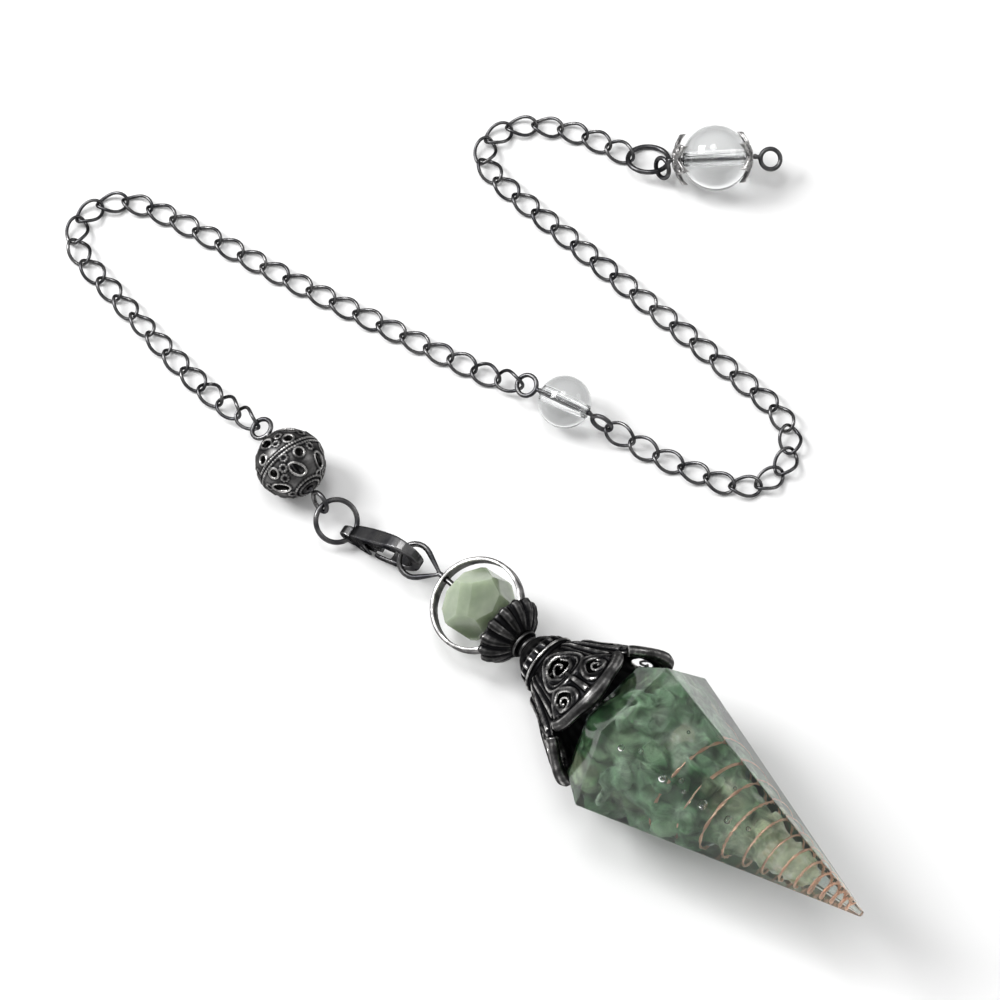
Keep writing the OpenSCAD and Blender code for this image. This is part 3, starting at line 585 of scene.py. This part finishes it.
def cap_spot(u, angle, lift=0.0):
    """A place on the cap's skin, or lift mm off it, in mm from the girdle's middle."""
    r, a = petal_r(u), math.radians(angle)
    low = -math.cos(a - math.radians(cap_roll))
    kept = min(r, table_r / low) if low > 0.5 else r
    kept += lift * 0.85
    return Vector((cap_len * u + lift * 0.5 - collar_x, kept * math.sin(a), kept * math.cos(a)))


def drop(petal, scroll, t, size, lift):
    """A place at angle t on the drop-shaped outline of a petal's scroll, shrunk to size."""
    u, off, long, wide = scroll
    x = -math.cos(t) / 2
    y = math.sin(t) * (1 - 0.3 * math.cos(t)) / 2
    swing = y * wide * size * cap_len / petal_r(u) * 180 / math.pi
    return cap_spot(u + x * long * size, petal * 90 + off + swing, lift)


def scroll_trim(petal, scroll):
    """A scroll's rim, its row of grains and the curl in its middle."""
    rim = [drop(petal, scroll, a, 1, 0.05) for a in round_steps(rim_steps)]
    inner = [drop(petal, scroll, a, 0.8, 0.1) for a in round_steps(rim_steps)]
    turn = 1 if scroll[1] >= 0 else -1
    curl = []
    for i in range(curl_steps + 1):
        t = turn * math.radians(60 + 480 * i / curl_steps)
        curl.append(drop(petal, scroll, t, 0.56 - 0.46 * i / curl_steps, 0))
    return [rod(rim, rim_r, closed=True), beaded(inner, grain_size),
            beaded(curl, grain_size, closed=False), rod(curl, curl_r)]


def petal_trim(petal):
    """A petal's rolled lip, its spine and the bars and grains down its two edges."""
    lip, thick = [], []
    for i in range(lip_steps + 1):
        off = -lip_spread / 2 + lip_spread * i / lip_steps
        v = abs(off) / 45
        wave = math.cos(math.radians(off * 9))
        lip.append(cap_spot(1 - notch * v ** 3 - 0.03 + 0.015 * wave, petal * 90 + off, -0.05))
        thick.append(0.82 - 0.28 * v ** 2 + 0.08 * wave)
    spine = [cap_spot(0.48 + 0.4 * i / spine_steps, petal * 90) for i in range(spine_steps + 1)]
    wires = [rod(lip, thick), rod(spine, [0.3 + 0.15 * i / spine_steps for i in range(spine_steps + 1)])]
    for side in (-1, 1):
        edge, edge_r, inner = [], [], []
        for i in range(edge_steps + 1):
            edge.append(cap_spot(0.06 + 0.62 * i / edge_steps, petal * 90 + side * (40 - 3 * i / edge_steps)))
            edge_r.append(0.24 + 0.12 * i / edge_steps)
            inner.append(cap_spot(0.1 + 0.55 * i / edge_steps, petal * 90 + side * (32 - 2 * i / edge_steps)))
        wires += [rod(edge, edge_r), beaded(inner, 0.34, closed=False)]
    return wires


def collar_spot(along, r, a):
    """A place on the collar, along mm behind the petals."""
    return Vector((-collar_x + collar_seat - along, r * math.sin(a), r * math.cos(a)))


trim = []
for petal in range(4):
    for scroll in scrolls:
        trim += scroll_trim(petal, scroll)
    trim += petal_trim(petal)
for along, r, thick in ((0.55, collar_r, 0.2), (1.75, 2.95, 0.12)):
    trim.append(rod([collar_spot(along, r, a) for a in round_steps(40)], thick, closed=True))
for a in round_steps(collar_grooves):
    line, thick = [], []
    for i in range(groove_steps + 1):
        f = i / groove_steps
        line.append(collar_spot(0.8 + 1.6 * f, 3.2 - 0.25 * f - 0.75 * f ** 3, a))
        thick.append(0.16 + 0.1 * math.sin(math.pi * f))
    trim.append(rod(line, thick))
trim = joined(trim)
settle(trim, cap_place)
keep_above(trim, 0.15)
cap = part_copy("filigree_casting", "filigree_cap")
recast(cap, 0.14 * mm, 3)
cap = joined([cap, trim])
recast(cap, 0.13 * mm, 1)
relief(cap, 24)
cap_metal = patina_and_painted_shade_metal("oxidised_casting", deep=0.01, middle=0.11, bright=0.8, low=-0.005, high=0.07)
cap.data.materials.append(cap_metal)
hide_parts("filigree_cap")
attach(cap, "pendulum")

# The neck and the fluted cup are turned and cast in the same metal as the cap, and so is the hoop, whose
# band has three ridges. They are threaded on the eye pin between the cap and the eye.
neck_len, cup_r, cup_len, cup_wall, rib_sunk = 1.4, 3.9, 2.9, 0.35, 0.18
cup_x = collar_x + collar_len + neck_len
flutes = 13
bowl = (                                     # along the cup, its radius and a rib's radius there in mm
    (0, 0.42, 0.28), (0.08, 0.52, 0.36), (0.28, 0.7, 0.5), (0.52, 0.87, 0.62), (0.75, 0.97, 0.68),
    (0.9, 1, 0.7), (1, 0.98, 0.56))


def cup_ribs():
    """The round ribs between the cup's flutes, in their place."""
    ribs = []
    for a in round_steps(flutes):
        line = []
        for along, r, rib in bowl:
            out = r * cup_r - rib_sunk
            line.append(Vector((-(along * (cup_len - cup_wall) + 0.2), out * math.sin(a), out * math.cos(a))))
        ribs.append(rod(line, [rib for along, r, rib in bowl]))
    ribs = joined(ribs)
    settle(ribs, lying(girdle_at, stack_yaw, point_tilt) @ Matrix.Translation((-cup_x * mm, 0, 0)))
    return ribs


band_metal = patina_and_painted_shade_metal("rubbed_band", deep=0.02, middle=0.26, bright=0.85, low=-0.035, high=0.06)
for name, source, grain, rounds in (
    ("neck", "neck_spool", 0.08, 2),
    ("cup", "fluted_cup", 0.1, 3),
    ("hoop", "hoop_ring", 0.085, 1),
):
    piece = part_copy(name, source)
    recast(piece, grain * mm, rounds)
    if name == "cup":
        piece = joined([piece, cup_ribs()])
        recast(piece, 0.1 * mm, 1)
    relief(piece, 20)
    piece.data.materials.append(band_metal if name == "hoop" else cap_metal)
    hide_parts(source)
    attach(piece, "pendulum")

# The bead in the hoop is pale green quartz, cut with a table at each end and two rings of facets. Its
# polish has just rounded the edges between the facets.
gem = part_copy("green_bead", "faceted_bead")
facet = gem.modifiers.new("facet", "BEVEL")
facet.width = 0.05 * mm
facet.segments = 1
facet.limit_method = "ANGLE"
facet.angle_limit = math.radians(15)
bpy.ops.object.modifier_apply(modifier="facet")
pale, tree, shader = new_finish("pale_green_quartz")
shader.inputs["Roughness"].default_value = 0.12
shader.inputs["IOR"].default_value = 1.54
shader.inputs["Subsurface Weight"].default_value = 1
shader.inputs["Subsurface Radius"].default_value = (1.0, 1.1, 0.85)
shader.inputs["Subsurface Scale"].default_value = 0.005
cloud = speckles(tree, scale=260, detail=4)
shade = shaded(tree, cloud.outputs["Fac"], (0.35, (0.2, 0.24, 0.17)), (0.7, (0.33, 0.38, 0.28)))
tree.links.new(shade, shader.inputs["Base Color"])
gem.data.materials.append(pale)
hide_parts("faceted_bead")
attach(gem, "pendulum")

# The eye pin, the clasp and its lever, the jump rings and the bead pins are steel wire and castings with a
# thin gunmetal plating, smooth and darker than the cap. The clasp is thickest half way along, and the
# lever is a little slimmer than its slot, so that it turns freely.
clasp_len, clasp_end, clasp_belly, lever_slimmed = 11.4, 0.6, 0.52, 0.06
clasp_place = lying((-11.118, -2.591, 1.02), -32, 21.97, 95)
gunmetal, tree, shader = new_finish("gunmetal_plating")
shader.inputs["Metallic"].default_value = 1
shader.inputs["Specular Tint"].default_value = (0.2, 0.2, 0.2, 1)
smears = speckles(tree, scale=600, detail=6).outputs["Fac"]
shade = shaded(tree, smears, (0.35, (0.055, 0.055, 0.06)), (0.7, (0.17, 0.168, 0.168)))
tree.links.new(shade, shader.inputs["Base Color"])
tree.links.new(spread(tree, smears, (0, 1), (0.42, 0.18)), shader.inputs["Roughness"])
pitted(tree, smears, shader, strength=0.2, depth=0.03)
for name, source, grain, rounds in (
    ("eye_wire", "pendant_eye_pin", 0.1, 2),
    ("clasp", "clasp_body", 0.09, 7),
    ("rivet", "clasp_rivet", 0.06, 0),
    ("lever", "clasp_lever", 0.06, 2),
    ("clasp_jump_ring", "clasp_ring", 0.08, 1),
    ("end_jump_ring", "end_ring", 0.08, 1),
    ("filigree_pin", "filigree_bead_pin", 0.08, 1),
    ("small_pin", "small_bead_pin", 0.08, 1),
    ("large_pin", "large_bead_pin", 0.08, 1),
):
    piece = part_copy(name, source)
    recast(piece, grain * mm, rounds)
    if name == "clasp":
        settle(piece, clasp_place.inverted())
        for v in piece.data.vertices:
            v.co.z *= clasp_end + clasp_belly * math.sin(math.pi * between(v.co.x / mm, 0, clasp_len))
        settle(piece, clasp_place)
    if name == "lever":
        bpy.ops.object.mode_set(mode="EDIT")
        bpy.ops.mesh.select_all(action="SELECT")
        bpy.ops.transform.shrink_fatten(value=-lever_slimmed * mm)
        bpy.ops.object.mode_set(mode="OBJECT")
    piece.data.materials.append(gunmetal)
    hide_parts(source)
    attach(piece, "lever" if source == "clasp_lever" else "pendulum")

# The pierced bead is pressed from thin metal in two halves and blackened. Twisted wire is soldered round
# its openings and along its seam, and small rings of it fill the places between.
ball_r, ball_yaw, ball_roll, openings, hole_at, slot_at = 4, -54, 20, 6, 16, 46
hole_size, slot_size, ring_size = (0.62, 0.62), (1.12, 0.66), (0.4, 0.4)
ring_r, ring_grain, seam_grain, ring_count, golden_turn = 0.14, 0.32, 0.38, 130, 2.39996
ball = part_copy("pierced_bead", "filigree_bead")
recast(ball, 0.1 * mm, 1)
skin = [v.co for v in ball.data.vertices]
middle = [(min(c[i] for c in skin) + max(c[i] for c in skin)) / 2 for i in range(3)]


def ring_on_ball(turn, size, count=20):
    """A loop round the place on the ball where a turned y axis comes out, long along its x axis."""
    out, side, up = [turn @ Vector(axis) for axis in ((0, 1, 0), (1, 0, 0), (0, 0, 1))]
    loop = []
    for a in round_steps(count):
        spot = out * ball_r + side * size[0] * math.cos(a) + up * size[1] * math.sin(a)
        loop.append(spot.normalized() * (ball_r - 0.03))
    return loop


wires, taken = [], []
for side in (0, 1):
    for k in range(openings):
        half = Matrix.Rotation(math.pi * side, 3, "Z") @ Matrix.Rotation(2 * math.pi * k / openings, 3, "X")
        hole = half @ Matrix.Rotation(math.radians(hole_at), 3, "Z")
        slot = half @ Matrix.Rotation(math.radians(slot_at), 3, "Z")
        slot = slot @ Matrix.Rotation(math.pi / openings, 3, "X")
        for turn, size in ((hole, hole_size), (slot, slot_size)):
            loop = ring_on_ball(turn, size)
            wires += [rod(loop, ring_r, closed=True), beaded(loop, ring_grain)]
            taken.append((turn @ Vector((0, ball_r, 0)), sum(size) / 2 + 0.62))
for i in range(ring_count):
    high = 1 - 2 * (i + 0.5) / ring_count
    a = i * golden_turn
    girth = math.sqrt(1 - high ** 2)
    out = Vector((high, girth * math.cos(a), girth * math.sin(a)))
    clear_of = all((out * ball_r - spot).length > room_for for spot, room_for in taken)
    if abs(out.x) < 0.87 and abs(out.x) > 0.15 and clear_of:
        turn = out.to_track_quat("Y", "Z").to_matrix()
        wires.append(beaded(ring_on_ball(turn, ring_size, 12), ring_grain))
for lat in (-72, -64, -3.5, 3.5, 64, 72):
    a = math.radians(lat)
    row = [Vector((math.sin(a), math.cos(a) * math.cos(t), math.cos(a) * math.sin(t))) * (ball_r - 0.04)
           for t in [math.radians(5 * i) for i in range(72)]]
    wires.append(beaded(row, seam_grain))
wires = joined(wires)
place = Matrix.Translation(Vector(middle)) @ Matrix.Rotation(math.radians(ball_yaw), 4, "Z")
settle(wires, place @ Matrix.Rotation(math.radians(ball_roll), 4, "X"))
keep_above(wires)
ball = joined([ball, wires])
recast(ball, 0.1 * mm, 0)
relief(ball, 14)
ball_metal = patina_and_painted_shade_metal(
    "pressed_filigree", deep=0.012, middle=0.2, bright=0.8, low=-0.012, high=0.045, near=0.5)
ball.data.materials.append(ball_metal)
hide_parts("filigree_bead")
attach(ball, "pendulum")

# The chain is of oval curb links of gunmetal wire, each twisted so that it lies flat on the next. The
# solids' wire has few sides, so it is filled out a little and rounded.
for name, source in (("chain_to_small_bead", "lower_chain"), ("chain_to_end", "upper_chain")):
    links = part_copy(name, source)
    bpy.ops.object.mode_set(mode="EDIT")
    bpy.ops.mesh.select_all(action="SELECT")
    bpy.ops.mesh.tris_convert_to_quads(face_threshold=1.2, shape_threshold=1.2)
    bpy.ops.transform.shrink_fatten(value=0.09 * mm)
    bpy.ops.object.mode_set(mode="OBJECT")
    keep_above(links)
    round_off = links.modifiers.new("round_off", "SUBSURF")
    round_off.levels = 2
    round_off.render_levels = 2
    bpy.ops.object.modifier_apply(modifier="round_off")
    bpy.ops.object.shade_smooth()
    links.data.materials.append(gunmetal)
    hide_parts(source)
    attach(links, "pendulum")

# The two round beads are clear quartz, each with a bore drilled through it, and polished. A bead is
# threaded on its pin, whose ends are turned to loops.
clear, tree, shader = new_finish("clear_quartz")
shader.inputs["Base Color"].default_value = (0.97, 0.98, 0.98, 1)
shader.inputs["Roughness"].default_value = 0.01
shader.inputs["IOR"].default_value = 1.5
shader.inputs["Transmission Weight"].default_value = 1
for source in ("small_bead", "large_bead"):
    bead = part_copy(source + "_glass", source)
    bpy.ops.object.shade_smooth_by_angle(angle=math.radians(30))
    bead.data.materials.append(clear)
    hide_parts(source)
    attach(bead, "pendulum")

# Each end of the large bead has a star-shaped cap, stamped from thin metal and plated bright. Its edge is
# rolled, and each of its points has a pierced eye, a rib and a grain at the end.
large_r, star_gap, star_wall, star_r, star_points = 3.95, 0.08, 0.35, 3.1, 6
shell_r = large_r + star_gap + star_wall
star_at, star_yaw = (32.6, 45.8, large_r), 3
point_reach, valley_reach, eye_at, eye_r, edge_parts = 0.95, 0.58, 0.72, 0.42, 4


def on_star(r, a):
    """A place on the shell round the bead, r mm from its axis."""
    return Vector((math.sqrt(shell_r ** 2 - r ** 2), r * math.sin(a), -r * math.cos(a)))


def star_trim():
    """The rolled edge of a star cap, the trim of its points and the grains round its middle."""
    edge = []
    for k in range(2 * star_points):
        near, far = [star_r * (point_reach if (k + n) % 2 == 0 else valley_reach) for n in (0, 1)]
        for i in range(edge_parts):
            f = i / edge_parts
            edge.append(on_star(near + (far - near) * f, math.pi * (k + f) / star_points))
    wires = [rod(edge, 0.13, closed=True)]
    for a in round_steps(star_points):
        eye = [on_star(star_r * eye_at + eye_r * math.cos(t), a + eye_r * math.sin(t) / (star_r * eye_at))
               for t in round_steps(16)]
        rib = [on_star(star_r * (0.24 + 0.05 * i), a) for i in range(5)]
        end = [on_star(star_r * 0.9, a), on_star(star_r * 0.98, a)]
        wires += [rod(eye, 0.11, closed=True), rod(rib, 0.14), beaded(end, 0.42, closed=False)]
    wires.append(beaded([on_star(0.85, a) for a in round_steps(24)], 0.36))
    return joined(wires)


# The stars are plated bright, so the near black that this shading puts in their hollows is painted shade.
bright = patina_and_painted_shade_metal(
    "bright_silver_plating", deep=0.03, middle=0.4, bright=0.95, low=-0.03, high=0.04, near=0.5)
for source, turn, slip in (("inner_star_cap", 180, 0.7), ("outer_star_cap", 0, 0)):
    star = part_copy(source.replace("_cap", ""), source)
    recast(star, 0.06 * mm, 0)
    wires = star_trim()
    place = lying(star_at, star_yaw, 0) @ Matrix.Rotation(math.radians(turn), 4, "Z")
    settle(wires, place @ Matrix.Translation((slip * mm, 0, 0)))
    star = joined([star, wires])
    recast(star, 0.07 * mm, 0)
    relief(star, 10)
    star.data.materials.append(bright)
    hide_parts(source)
    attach(star, "pendulum")
